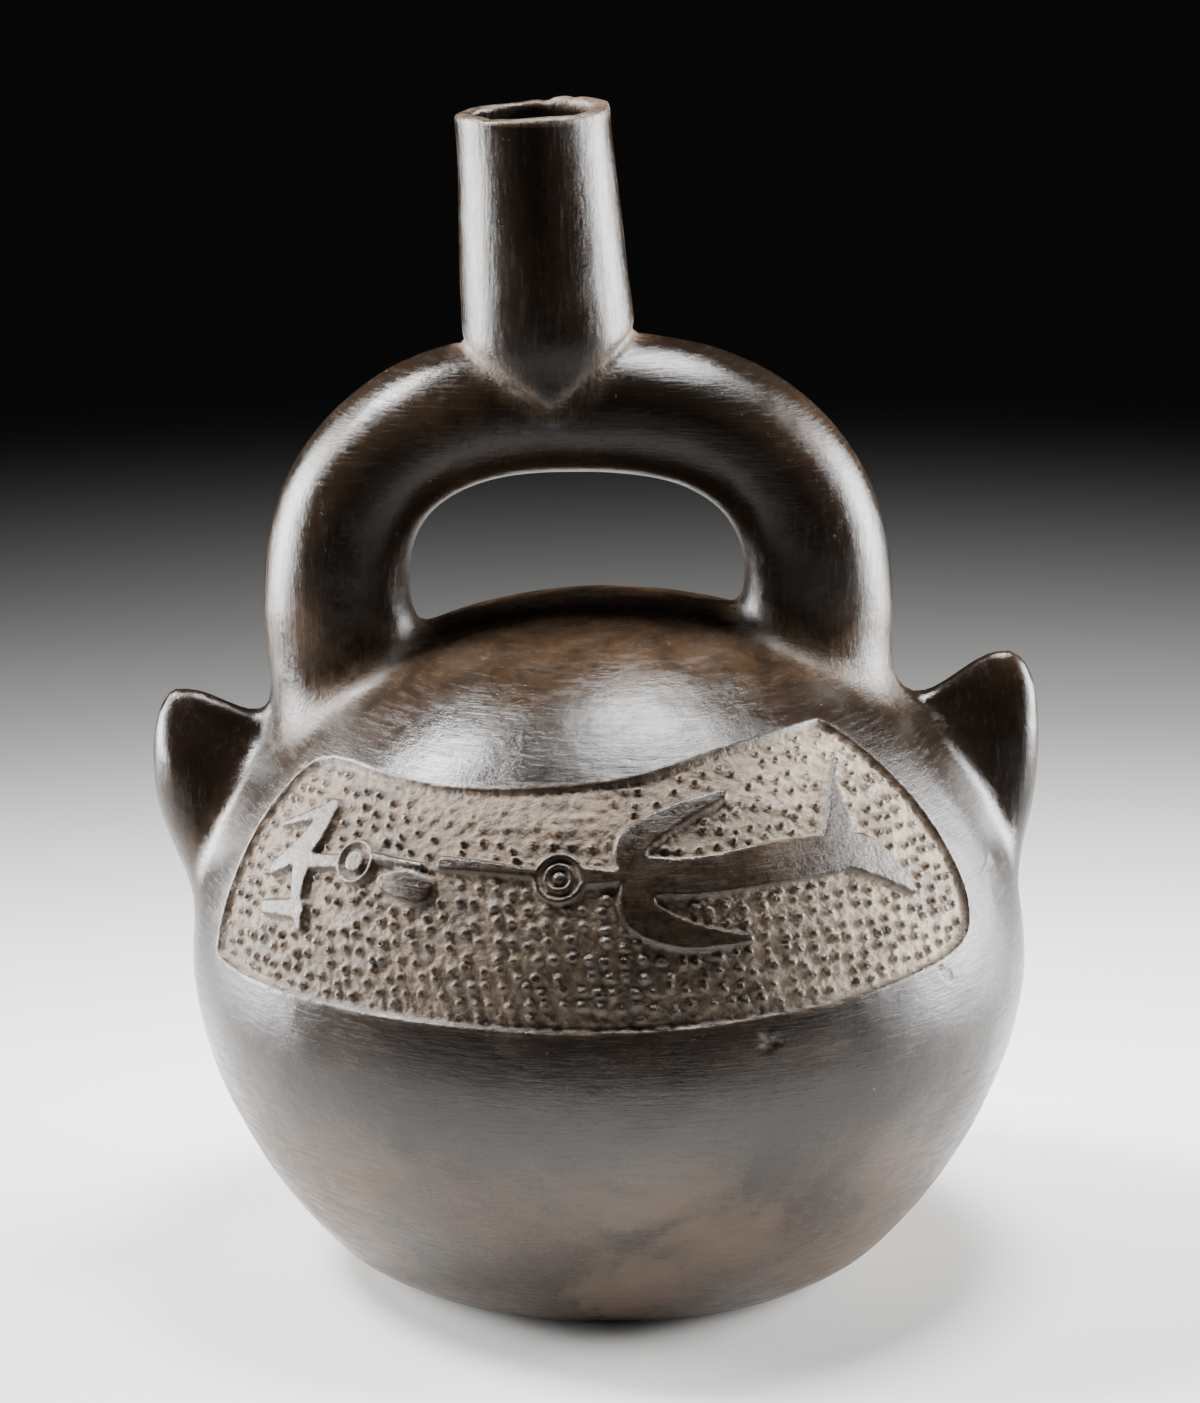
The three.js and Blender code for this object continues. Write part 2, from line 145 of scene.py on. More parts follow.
# Old scratches, as (azimuth, height above the belly, half width) from end to end
SCRATCHES = [
    [(67.5, 22.5, 0.25), (73, 24.5, 0.4)],
    [(50.5, 12.2, 0.2), (52.5, 9.8, 0.35)],
    [(20.4, 7.2, 0.45), (21.2, 5.2, 0.3)],
    [(19.6, 5.2, 0.2), (22.2, 6.2, 0.3)],
]

# Where the firing left the clay brown, as (x, z, half width, half height, strength)
BROWN_CLOUDS = [
    (-27, 152, 12, 9, 0.8), (36, 152, 9, 9, 0.5), (30, 91, 5, 5, 0.8), (70, 110, 9, 4, 0.25),
    (-76, 80, 9, 8, 0.5), (33, 58, 9, 3, 0.6), (-17, 27, 15, 9, 1.5),
]

# Mesh: the clay within this depth of the outside is its skin, and the inside's faces are wider
SKIN_DEPTH = 1.6
INNER_GRID = 4.2
MOST_TRIANGLES = 199000

# Stage in metres and degrees: softboxes as (name, setting of their power, place, target, size, spread)
SOFTBOXES = [
    ("left_softbox", "side_light", (-0.42, 0.13, 0.385), (0.0, 0.05, 0.36), (0.34, 0.75), 74),
    ("right_softbox", "side_light", (0.42, 0.13, 0.385), (0.0, 0.05, 0.36), (0.34, 0.75), 74),
    ("top_softbox", "top_light", (0.081, 0.036, 0.55), (0.07, 0.02, 0.0), (0.18, 0.18), 112),
    ("high_softbox", "high_light", (-0.45, 0.05, 0.68), (-0.03, -0.04, 0.1), (0.2, 0.2), 50),
]
FLOOR_SIZE = 12.0
# A dark card seen only in the vessel's polish, as a painted dark reflection under the panel
CARD_WIDTH = 0.8
CARD_HEIGHT = 0.044
CARD_PLACE = (0.0, -0.2, 0.0225)
CAMERA_PLACE = (0.0, -0.878593, 0.316433)
CAMERA_TILT = 13.666
CAMERA_TURN = 0.103
CAMERA_LENS = 129.55
CAMERA_SENSOR = 36.0


# Curves that shapes and stains share


def smooth_min(a, b, width):
    near = np.clip(width - np.abs(a - b), 0.0, None) / width
    return np.minimum(a, b) - near ** 3 * width / 6.0


def smooth_max(a, b, width):
    return -smooth_min(-a, -b, width)


def smooth_step(low, high, value):
    share = np.clip((value - low) / (high - low), 0.0, 1.0)
    return share * share * (3.0 - 2.0 * share)


def hump(value, middle, width):
    """A soft bell that is 1 in the middle and about a third one width away from it."""
    return np.exp(-(((value - middle) / width) ** 2))


def oval_distance(a, b, half_a, half_b, power):
    """About how far (a, b) lies outside an oval of these half sizes, whose squareness is the power."""
    share_a = np.abs(a) / half_a
    share_b = np.abs(b) / half_b
    size = np.maximum((share_a ** power + share_b ** power) ** (1.0 / power), 1e-3)
    slope_a = (share_a / size) ** (power - 1.0) / half_a
    slope_b = (share_b / size) ** (power - 1.0) / half_b
    return (size - 1.0) / np.maximum(np.hypot(slope_a, slope_b), 1e-4)


# The outside and the inside of the clay as distance fields


def body_distance(p):
    rise = p[:, 2] - BELLY_HEIGHT
    radius = np.hypot(p[:, 0], p[:, 1])
    dome = oval_distance(radius, rise, BELLY_RADIUS, DOME_RISE, DOME_POWER)
    bowl = oval_distance(radius, rise, BELLY_RADIUS, BOWL_DEPTH, BOWL_POWER)
    return np.where(rise > 0.0, dome, bowl)


def body_radius(height):
    rise = height - BELLY_HEIGHT
    depth, power = (DOME_RISE, DOME_POWER) if rise > 0 else (BOWL_DEPTH, BOWL_POWER)
    return BELLY_RADIUS * max(0.0, 1.0 - (abs(rise) / depth) ** power) ** (1.0 / power)


def stirrup_line():
    """Points (x, z) of the handle's middle line, from deep under the left foot to the right one."""
    spring = CREST_HEIGHT - STIRRUP_SHOULDER
    half = STIRRUP_SPAN / 2.0
    line = []
    steps = 44
    for i in range(steps + 1):
        turn = math.pi * (1.0 - i / steps)
        across = math.copysign(abs(math.cos(turn)) ** (2.0 / STIRRUP_POWER), math.cos(turn))
        up = max(math.sin(turn), 0.0) ** (2.0 / STIRRUP_POWER)
        line.append((STIRRUP_MIDDLE + half * across, spring + STIRRUP_SHOULDER * up))
    leg_steps = 6
    foot = 82.0
    for i in range(1, leg_steps + 1):
        share = i / leg_steps
        height = spring + (foot - spring) * share
        step_in = LEFT_FOOT_STEP * min(1.0, share * 1.4)
        line.insert(0, (STIRRUP_MIDDLE - half + step_in, height))
        line.append((STIRRUP_MIDDLE + half, height))
    return np.array(line)


def side_of_line(x, z, line):
    """Signed distance in the X-Z plane from a chain of points, positive on its left."""
    best = np.full(x.shape, 1e9)
    sign = np.ones(x.shape)
    for (ax, az), (bx, bz) in zip(line[:-1], line[1:]):
        dx, dz = bx - ax, bz - az
        share = np.clip(((x - ax) * dx + (z - az) * dz) / (dx * dx + dz * dz), 0.0, 1.0)
        gap_x, gap_z = x - ax - share * dx, z - az - share * dz
        gap = gap_x * gap_x + gap_z * gap_z
        closer = gap < best
        best = np.where(closer, gap, best)
        sign = np.where(closer, np.where(gap_z * dx - gap_x * dz >= 0.0, 1.0, -1.0), sign)
    return np.sqrt(best) * sign


def stirrup_distance(p, inset=0.0):
    result = np.full(len(p), 60.0)
    near = (p[:, 2] > 78.0) & (p[:, 2] < 185.0) & (np.abs(p[:, 1]) < 32.0)
    q = p[near]
    out = side_of_line(q[:, 0], q[:, 2], stirrup_line())
    rise = np.clip((q[:, 2] - CREST_HEIGHT + STIRRUP_SHOULDER) / STIRRUP_SHOULDER, 0.0, 1.0)
    half_width = (LEG_WIDTH + (CREST_WIDTH - LEG_WIDTH) * rise) / 2.0 - inset
    half_depth = TUBE_DEPTH / 2.0 - inset
    round_side = oval_distance(out, q[:, 1], half_width, half_depth, 2.0)
    square_side = oval_distance(out, q[:, 1], half_width, half_depth, TUBE_INNER_POWER)
    result[near] = np.where(out > 0.0, round_side, square_side)
    return result


def spout_place(p):
    """How far along the spout's axis a point is, how far from it, and at what angle round it."""
    axis = np.array([-math.sin(SPOUT_LEAN), -0.02, math.cos(SPOUT_LEAN)])
    axis /= np.linalg.norm(axis)
    arm = p - np.array([SPOUT_MIDDLE, 0.0, CREST_HEIGHT])
    along = arm @ axis
    away = arm - along[:, None] * axis
    return along, np.linalg.norm(away, axis=1), np.arctan2(away[:, 1], away[:, 0])


def spout_radius(along):
    half = CREST_WIDTH / 2.0
    stations = [0.0, half * 0.5, half * 0.95, half + 3.0, half + 20.0, SPOUT_TOP - 4.0, SPOUT_TOP]
    radii = [
        TUBE_DEPTH / 2.0, TUBE_DEPTH / 2.0 + 0.5, SPOUT_BASE_RADIUS, SPOUT_BASE_RADIUS - 0.1,
        (SPOUT_BASE_RADIUS + SPOUT_RIM_RADIUS) / 2.0, SPOUT_RIM_RADIUS, SPOUT_RIM_RADIUS - 0.05,
    ]
    return np.interp(along, stations, radii)


def spout_distance(p):
    along, away, angle = spout_place(p)
    rim = SPOUT_TOP + 0.22 * np.sin(angle * 2.0 + 0.6) + 0.12 * np.sin(angle * 5.0 + 2.0)
    chips = sum(depth * hump(angle, middle, width) for middle, width, depth in RIM_CHIPS)
    wall = smooth_max(away - spout_radius(along), along - rim + chips, 1.7)
    wall = np.maximum(wall, -along - 1.0)
    bore = np.maximum(away - spout_radius(along) + SPOUT_WALL, 28.0 - along)
    return smooth_max(wall, -bore, 1.5)


def crease_distance(p):
    """How far a point is from the V where the spout's foot meets the handle, seen from the front."""
    arm = p - np.array([SPOUT_MIDDLE, 0.0, CREST_HEIGHT])
    across = arm[:, 0] * math.cos(SPOUT_LEAN) + arm[:, 2] * math.sin(SPOUT_LEAN)
    up = arm[:, 2] * math.cos(SPOUT_LEAN) - arm[:, 0] * math.sin(SPOUT_LEAN)
    gap = np.abs(np.abs(across) - CREASE_SPREAD * up) / math.hypot(1.0, CREASE_SPREAD)
    past = np.maximum(-up - 0.5, 0.0) + np.maximum(up - CREST_WIDTH / 2.0, 0.0)
    return np.hypot(gap, past) + np.maximum(np.abs(spout_distance(p)) - 2.0, 0.0)


def wedge_distance(depth, across, edge, flank):
    """A wedge whose edge is rounded to a radius, and whose half width grows by flank per unit of depth."""
    round_edge = np.hypot(edge - depth, across) - edge
    sides = (np.abs(across) - edge - flank * (depth - edge)) / math.hypot(1.0, flank)
    return np.where(depth < edge, round_edge, sides)


def lug_distance(p, lug):
    result = np.full(len(p), 40.0)
    x, z = p[:, 0] * lug["side"], p[:, 2]
    near = (x > 42.0) & (z > lug["foot"] - 14.0) & (z < lug["tip"] + 12.0) & (np.abs(p[:, 1]) < 34.0)
    x, y, z = x[near], p[near, 1], z[near]
    foot_reach = body_radius(lug["foot"])
    line = [(foot_reach - 12.0, lug["foot"] - 13.0)]
    for i in range(13):
        share = i / 12
        reach = foot_reach + (lug["reach"] - foot_reach) * (1.0 - (1.0 - share) ** 2.2)
        line.append((reach, lug["foot"] + (lug["widest"] - lug["foot"]) * share))
    for i in range(1, 15):
        turn = math.pi / 2.0 * i / 14
        up = math.sin(turn) ** (2.0 / lug["power"])
        out = max(math.cos(turn), 0.0) ** (2.0 / lug["power"])
        reach = lug["tip_reach"] + (lug["reach"] - lug["tip_reach"]) * out
        line.append((reach, lug["widest"] + (lug["tip"] - lug["widest"]) * up))
    line.append((40.0, lug["tip"] + 14.0))
    depth = side_of_line(x, z, np.array(line))
    to_tip = np.clip((z - lug["widest"]) / (lug["tip"] - lug["widest"]), 0.0, 1.0) ** 1.6
    edge = lug["nose"] + (lug["top_edge"] - lug["nose"]) * to_tip
    outer = wedge_distance(depth, y, edge, lug["flank"])
    saddle_reach = body_radius(lug["saddle"])
    slope = np.array([lug["tip_reach"] - saddle_reach, lug["tip"] - lug["saddle"]])
    slope /= np.linalg.norm(slope)
    under_top = (x - saddle_reach) * slope[1] - (z - lug["saddle"]) * slope[0]
    upper = wedge_distance(under_top, y, lug["top_edge"], lug["top_flank"])
    result[near] = np.maximum(smooth_max(outer, upper, 5.0), 45.0 - x)
    return result


def outside(p):
    body = smooth_max(body_distance(p), -p[:, 2], GROUND_ROUNDING)
    handle = stirrup_distance(p)
    whole = smooth_min(body, handle, 9.0)
    for lug in LUGS:
        whole = smooth_min(whole, lug_distance(p, lug), 9.0)
    return smooth_min(whole, spout_distance(p), 1.4)


def hollow(p):
    body = smooth_max(body_distance(p) + BODY_WALL, BODY_WALL - p[:, 2], GROUND_ROUNDING)
    bore = smooth_min(body, stirrup_distance(p, TUBE_WALL), 3.0)
    along, away, _ = spout_place(p)
    throat = np.maximum(away - spout_radius(along) + SPOUT_WALL + 0.5, np.maximum(-along, along - 31.0))
    return np.minimum(bore, throat)


# From a distance field to a mesh


def net(field, low, high, step):
    """Points and four-cornered faces of the surface where the field is zero."""
    counts = [int(math.ceil((high[k] - low[k]) / step)) + 1 for k in range(3)]
    axes = [low[k] + step * np.arange(counts[k]) for k in range(3)]
    grid = np.stack(np.meshgrid(*axes, indexing="ij"), axis=-1).reshape(-1, 3)
    value = np.concatenate([field(part) for part in np.array_split(grid, 12)]).reshape(counts)
    cells = [c - 1 for c in counts]
    total = np.zeros(cells + [3])
    hits = np.zeros(cells)
    crossings = []
    for axis in range(3):
        first = np.moveaxis(value, axis, 0)[:-1]
        second = np.moveaxis(value, axis, 0)[1:]
        first, second = np.moveaxis(first, 0, axis), np.moveaxis(second, 0, axis)
        cross = (first < 0.0) != (second < 0.0)
        at = np.argwhere(cross)
        start, end = first[cross], second[cross]
        spot = at.astype(float)
        spot[:, axis] += start / (start - end)
        crossings.append((at, start < 0.0))
        one, two = [k for k in range(3) if k != axis]
        for back_one in (0, 1):
            for back_two in (0, 1):
                cell = at.copy()
                cell[:, one] -= back_one
                cell[:, two] -= back_two
                np.add.at(total, tuple(cell.T), spot)
                np.add.at(hits, tuple(cell.T), 1.0)
    used = hits > 0
    number = np.full(cells, -1)
    number[used] = np.arange(used.sum())
    points = np.array(low) + step * total[used] / hits[used][:, None]
    faces = []
    for axis, (at, leaving) in enumerate(crossings):
        one, two = (axis + 1) % 3, (axis + 2) % 3
        ring = []
        for back_one, back_two in ((1, 1), (0, 1), (0, 0), (1, 0)):
            cell = at.copy()
            cell[:, one] -= back_one
            cell[:, two] -= back_two
            ring.append(number[tuple(cell.T)])
        ring = np.stack(ring, axis=1)
        ring[~leaving] = ring[~leaving][:, ::-1]
        faces.append(ring)
    return points, np.concatenate(faces)


def gradient(field, p):
    nudge = 0.05
    result = np.empty_like(p)
    for k in range(3):
        offset = np.zeros(3)
        offset[k] = nudge
        result[:, k] = (field(p + offset) - field(p - offset)) / (2.0 * nudge)
    return result


def settled(field, p, rounds):
    """Points moved onto the surface where the field is zero, by short steps."""
    for _ in range(rounds):
        slope = gradient(field, p)
        step = (field(p) / np.maximum((slope ** 2).sum(axis=1), 0.2))[:, None] * slope
        length = np.linalg.norm(step, axis=1, keepdims=True)
        p = p - step * np.minimum(1.0, 1.0 / np.maximum(length, 1e-6))
    return p


def mesh_of(name, points, faces):
    mesh = bpy.data.meshes.new(name)
    mesh.from_pydata((points * MM).tolist(), [], faces.tolist())
    mesh.validate()
    return mesh


def hollowed(outer, inner):
    """The outer mesh with the inner one cut out of it."""
    block = bpy.data.objects.new("vessel_block", outer)
    core = bpy.data.objects.new("vessel_core", inner)
    for piece in (block, core):
        bpy.context.collection.objects.link(piece)
    cut = block.modifiers.new("hollow", "BOOLEAN")
    cut.operation = "DIFFERENCE"
    cut.solver = "MANIFOLD"
    cut.object = core
    bpy.context.view_layer.update()
    result = bpy.data.meshes.new_from_object(block.evaluated_get(bpy.context.evaluated_depsgraph_get()))
    for piece in (block, core):
        bpy.data.objects.remove(piece)
    if len(result.polygons) <= len(outer.polygons):
        raise RuntimeError("the inside wasn't cut out of the vessel")
    return result


def corners(mesh):
    flat = np.empty(len(mesh.vertices) * 3)
    mesh.vertices.foreach_get("co", flat)
    return flat.reshape(-1, 3) / MM


def refine(mesh, wanted):
    """Splits the faces in four where wanted says so of their middles."""
    work = bmesh.new()
    work.from_mesh(mesh)
    work.faces.ensure_lookup_table()
    middles = np.array([face.calc_center_median() for face in work.faces]) / MM
    chosen = wanted(middles)
    edges = {edge for index in np.flatnonzero(chosen) for edge in work.faces[index].edges}
    bmesh.ops.subdivide_edges(work, edges=list(edges), cuts=1, use_grid_fill=True)
    work.to_mesh(mesh)
    work.free()


# Relief


def azimuth_and_rise(p):
    return np.degrees(np.arctan2(p[:, 0], -p[:, 1])), p[:, 2] - BELLY_HEIGHT


def on_body(azimuth, rise):
    radius = body_radius(BELLY_HEIGHT + rise)
    turn = math.radians(azimuth)
    return np.array([radius * math.sin(turn), -radius * math.cos(turn), BELLY_HEIGHT + rise])


def smooth_line(knots, steps, closed=False):
    """More knots along a smooth curve through the given ones, each number of a knot alike."""
    knots = np.array(knots, dtype=float)
    count = len(knots)
    result = []
    spans = count if closed else count - 1
    for k in range(spans):
        ids = [k - 1, k, k + 1, k + 2]
        ids = [i % count if closed else min(max(i, 0), count - 1) for i in ids]
        a, b, c, d = knots[ids]
        for i in range(steps):
            t = i / steps
            square = (2 * a - 5 * b + 4 * c - d) * t ** 2
            cube = (3 * b - a - 3 * c + d) * t ** 3
            result.append(0.5 * (2 * b + (c - a) * t + square + cube))
    if not closed:
        result.append(knots[-1])
    return np.array(result)


def chain_distance(p, line, half_widths):
    best = np.full(len(p), 1e3)
    for a, b, start, end in zip(line[:-1], line[1:], half_widths[:-1], half_widths[1:]):
        span = b - a
        share = np.clip((p - a) @ span / (span @ span), 0.0, 1.0)
        gap = np.linalg.norm(p - a - share[:, None] * span, axis=1)
        best = np.minimum(best, gap - (start + (end - start) * share))
    return best


def panel_distance(p, back):
    """How far inside the panel's outline each point is, in millimetres."""
    outline = smooth_line(PANEL, 4, closed=True)
    azimuth, rise = azimuth_and_rise(p)
    if back:
        azimuth = np.where(azimuth > 0, 180.0 - azimuth, -180.0 - azimuth)
    within = np.zeros(len(p), dtype=bool)
    for (a1, r1), (a2, r2) in zip(outline, np.roll(outline, -1, axis=0)):
        if r1 == r2:
            continue
        spans = (r1 > rise) != (r2 > rise)
        within ^= spans & (azimuth < (a2 - a1) * (rise - r1) / (r2 - r1) + a1)
    line = np.array([on_body(180.0 - a if back else a, r) for a, r in outline])
    gap = chain_distance(p, np.vstack([line, line[:1]]), np.zeros(len(line) + 1))
    return np.where(within, gap, -gap)


def bird_distance(p, bird, back):
    """Distances from the bird's raised figure and from the middle of its eye."""
    spot = (lambda a, r: on_body(180.0 - a, r)) if back else on_body
    best = np.full(len(p), 1e3)
    for knots in bird["strokes"]:
        smooth = smooth_line(knots, 4)
        line = np.array([spot(a, r) for a, r, _ in smooth])
        best = np.minimum(best, chain_distance(p, line, smooth[:, 2]))
    eye = np.linalg.norm(p - spot(*bird["eye"]), axis=1)
    best = np.where(eye < bird["rings"][0][0], 1e3, best)
    for radius, half_width in bird["rings"]:
        best = np.minimum(best, np.abs(eye - radius) - half_width)
    return np.minimum(best, eye - bird["pupil"]), eye


def scratch_distance(p):
    best = np.full(len(p), 1e3)
    for knots in SCRATCHES:
        line = np.array([on_body(a, r) for a, r, _ in knots])
        best = np.minimum(best, chain_distance(p, line, [half for _, _, half in knots]))
    return best


def sprinkle(spacing, back, seed):
    """Places of the pellets of the ground, in loose rows, the size of each and the depth of its dent."""
    rng = np.random.default_rng(seed)
    spots = []
    row = 0
    rise = 10.3
    while rise < 52.8:
        radius = body_radius(BELLY_HEIGHT + rise)
        step = math.degrees(spacing / radius)
        azimuth = -68.0 + (row % 2) * step / 2.0
        while azimuth < 61.0:
            shift = rng.uniform(-0.22, 0.22, 2)
            spots.append((azimuth + shift[0] * step, rise + shift[1] * spacing))
            azimuth += step
        rise += 0.86 * spacing * math.sqrt(max(0.3, 1.0 - (rise / DOME_RISE) ** 2))
        row += 1
    spots = [spot for spot in spots if rng.random() > 0.05]
    places = np.array([on_body(180.0 - a if back else a, r) for a, r in spots])
    sizes = rng.uniform(0.75, 1.0, len(places))
    dents = np.where(rng.random(len(places)) < 0.3, rng.uniform(0.3, 0.6, len(places)), 0.0)
    return places, sizes, dents


def relief(p, sizes, back):
    """How deep the surface is cut at each point, and where its ground, figures and pellets are."""
    inside = panel_distance(p, back)
    birds = [FLYING_BIRD] if back else [FLYING_BIRD, PERCHED_BIRD]
    figure = np.full(len(p), 1e3)
    eyes = np.full(len(p), 1e3)
    for bird in birds:
        shape, eye = bird_distance(p, bird, back)
        figure = np.minimum(figure, shape)
        eyes = np.minimum(eyes, eye)
    sunk = smooth_step(-0.3, 0.6, inside)
    standing = 1.0 - smooth_step(-0.3, 0.35, figure)
    azimuth, rise = azimuth_and_rise(p)
    filled = np.zeros(len(p))
    if not back:
        filled = smooth_step(-42.0, -28.0, azimuth) * smooth_step(6.0, -4.0, azimuth)
        filled *= smooth_step(37.0, 42.0, rise)
    depth = sizes.relief_depth / MM * sunk * (1.0 - 0.4 * filled)
    depth = np.where(eyes < 4.5, depth * 0.75, depth)
    sparser = 1.45 if back else 1.0
    places, scale, dents = sprinkle(sparser * sizes.pellet_spacing / MM, back, 11)
    bump = np.zeros(len(p))
    radius = sizes.pellet_size / MM / 2.0
    for place, size, dent in zip(places, scale, dents):
        away = np.abs(p - place).max(axis=1) < 2.0
        if not away.any():
            continue
        gap = np.linalg.norm(p[away] - place, axis=1) / (radius * size)
        dome = np.clip(1.0 - gap ** 3.2, 0.0, 1.0) ** 0.6
        dome -= dent * np.clip(1.0 - (gap / 0.5) ** 2, 0.0, 1.0)
        bump[away] = np.maximum(bump[away], dome * (0.7 + 0.3 * size))
    clear = smooth_step(0.5, 1.3, figure) * smooth_step(0.8, 1.8, inside)
    pellets = bump * clear * (1.0 - 0.7 * filled)
    depth = depth * (1.0 - standing) - pellets * sizes.pellet_height / MM
    ground = sunk * (1.0 - standing)
    return depth, ground, standing * sunk, pellets


# Settings that a user would change


def length_setting(name, description, default, low, high):
    """A length that is given in millimetres and kept in metres."""
    return FloatProperty(
        name=name, description=description, default=default * MM, min=low * MM, max=high * MM,
        unit="LENGTH", precision=4,
    )


def colour_setting(name, description, default):
    return FloatVectorProperty(
        name=name, description=description, default=default, size=3, min=0.0, max=1.0, subtype="COLOR",
    )


def power_setting(name, description, default):
    return FloatProperty(name=name, description=description, default=default, min=0.0, unit="POWER")


class VesselSizes(bpy.types.PropertyGroup):
    grid: length_setting("Grid", "Width of a face away from the relief", 1.86, 1.8, 4.0)
    relief_depth: length_setting("Relief depth", "How deep the ground of a panel is cut", 1.3, 0.0, 2.5)
    pellet_size: length_setting("Pellet size", "Width of the largest pellets of the ground", 1.95, 1.0, 2.0)
    pellet_height: length_setting("Pellet height", "How far a pellet stands out of the ground", 1.0, 0.0, 1.3)
    pellet_spacing: length_setting("Pellet spacing", "From one pellet to the next", 3.15, 2.5, 6.0)
    wobble: length_setting("Hand wobble", "How uneven the hand-built walls are", 0.35, 0.0, 1.0)
    seed: IntProperty(name="Seed", description="Changes the wobble of the walls", default=4, min=0)


class ClayColours(bpy.types.PropertyGroup):
    dark: colour_setting("Burnished clay", "The dark, polished surface", (0.011, 0.0072, 0.0048))
    brown: colour_setting("Brown clouds", "Where the firing left the clay brown", (0.058, 0.034, 0.019))
    earth: colour_setting("Earth", "Soil left in the relief and the joints", (0.18, 0.125, 0.083))
    soil: colour_setting("Dark earth", "Soil that smoke or damp has darkened", (0.045, 0.029, 0.019))
    # Pale earth painted as a highlight on the right of the front panel
    dry: colour_setting("Highlit earth", "Pale, dry soil on the right of the front panel", (0.40, 0.32, 0.235))
    bloom: colour_setting("Dull bloom", "The dull brown of the worn bowl", (0.085, 0.057, 0.039))
    gloss: FloatProperty(
        name="Roughness", description="Roughness of the burnished surface", default=0.15, min=0.05, max=1.0,
        subtype="FACTOR",
    )


class StudioSettings(bpy.types.PropertyGroup):
    side_light: power_setting("Side lights", "Power of each of the two large side lights", 6.2)
    top_light: power_setting("Top light", "Power of the light overhead", 2.0)
    high_light: power_setting("High light", "Power of the small light high on the left", 1.1)
    floor: colour_setting("Floor", "Colour of the floor", (0.94, 0.94, 0.93))


# Clay


def node(tree, kind, **settings):
    made = tree.nodes.new(kind)
    for key, value in settings.items():
        setattr(made, key, value)
    return made


def socket(made, name, value):
    made.inputs[name].default_value = value


def noise_node(tree, coordinates, scale, detail, roughness=0.5, distortion=0.0):
    made = node(tree, "ShaderNodeTexNoise")
    socket(made, "Scale", scale)
    socket(made, "Detail", detail)
    socket(made, "Roughness", roughness)
    socket(made, "Distortion", distortion)
    tree.links.new(coordinates, made.inputs["Vector"])
    return made.outputs["Fac"]


def ramp(tree, value, low, high):
    """The value stretched so that low gives 0 and high gives 1."""
    made = node(tree, "ShaderNodeMapRange", interpolation_type="SMOOTHSTEP")
    socket(made, "From Min", low)
    socket(made, "From Max", high)
    tree.links.new(value, made.inputs["Value"])
    return made.outputs["Result"]


def maths(tree, operation, first, second, clamp=False):
    made = node(tree, "ShaderNodeMath", operation=operation, use_clamp=clamp)
    for index, value in enumerate((first, second)):
        if isinstance(value, (int, float)):
            made.inputs[index].default_value = value
        else:
            tree.links.new(value, made.inputs[index])
    return made.outputs["Value"]


def mixed(tree, share, first, second):
    made = node(tree, "ShaderNodeMix", data_type="RGBA")
    tree.links.new(share, made.inputs["Factor"])
    for name, value in (("A", first), ("B", second)):
        target = [s for s in made.inputs if s.name == name and s.type == "RGBA"][0]
        if hasattr(value, "is_output"):
            tree.links.new(value, target)
        else:
            target.default_value = (*value, 1.0)
    return [s for s in made.outputs if s.type == "RGBA"][0]


def stretched(tree, coordinates, scale):
    made = node(tree, "ShaderNodeMapping")
    socket(made, "Scale", scale)
    tree.links.new(coordinates, made.inputs["Vector"])
    return made.outputs["Vector"]


def attribute(tree, name):
    return node(tree, "ShaderNodeAttribute", attribute_name=name).outputs["Fac"]


def weighted(tree, base, parts):
    """The base with each value times its weight added."""
    total = base
    for value, weight in parts:
        total = maths(tree, "ADD", maths(tree, "MULTIPLY", value, weight), total)
    return total


def burnish_strokes(tree, place):
    """Fine streaks that run level round the body, and up and down on the legs and the spout."""
    level = noise_node(tree, stretched(tree, place, (1.0, 1.0, 11.0)), 150.0, 7.0, 0.75)
    upright = noise_node(tree, stretched(tree, place, (9.0, 9.0, 1.2)), 110.0, 7.0, 0.75)
    blend = node(tree, "ShaderNodeMix", data_type="FLOAT")
    for index, value in ((0, attribute(tree, "upright")), (2, level), (3, upright)):
        tree.links.new(value, blend.inputs[index])
    return blend.outputs[0]


def brown_share(tree, clouds, blotches):
    share = weighted(tree, attribute(tree, "brown"), [(ramp(tree, clouds, 0.48, 0.7), 0.36)])
    return maths(tree, "MULTIPLY", share, ramp(tree, blotches, 0.2, 0.75), clamp=True)


def bloom_share(tree, place):
    """The dull bloom of the bowl, broken up by smoky patches."""
    patches = ramp(tree, noise_node(tree, place, 34.0, 6.0, 0.62, 0.5), 0.40, 0.62)
    patches = maths(tree, "MULTIPLY", maths(tree, "ADD", patches, 0.2), 0.85)
    return maths(tree, "MULTIPLY", attribute(tree, "bowl"), patches, clamp=True)


def earth_share(tree, fine, blotches):
    """Earth in the joints, on the ground of the relief and on the figures, rubbed off the pellets; the
    figures' share carries a painted highlight at the sides of the front panel.
    """
    joint = maths(tree, "MULTIPLY", attribute(tree, "joint"), ramp(tree, blotches, 0.15, 0.8), clamp=True)
    # The ground attribute has less earth in the middle of the front panel, a painted shade
    ground = maths(tree, "MULTIPLY", attribute(tree, "ground"), ramp(tree, blotches, -0.1, 0.5), clamp=True)
    # The figure attribute holds earth on the figures and a painted highlight at the sides of the front panel
    figure = maths(tree, "MULTIPLY", attribute(tree, "figure"), ramp(tree, fine, 0.2, 0.65), clamp=True)
    share = maths(tree, "MAXIMUM", maths(tree, "MAXIMUM", joint, ground), figure)
    kept = weighted(tree, 1.0, [(ramp(tree, attribute(tree, "pellet"), 0.3, 0.7), -0.7)])
    return maths(tree, "MULTIPLY", share, kept, clamp=True)


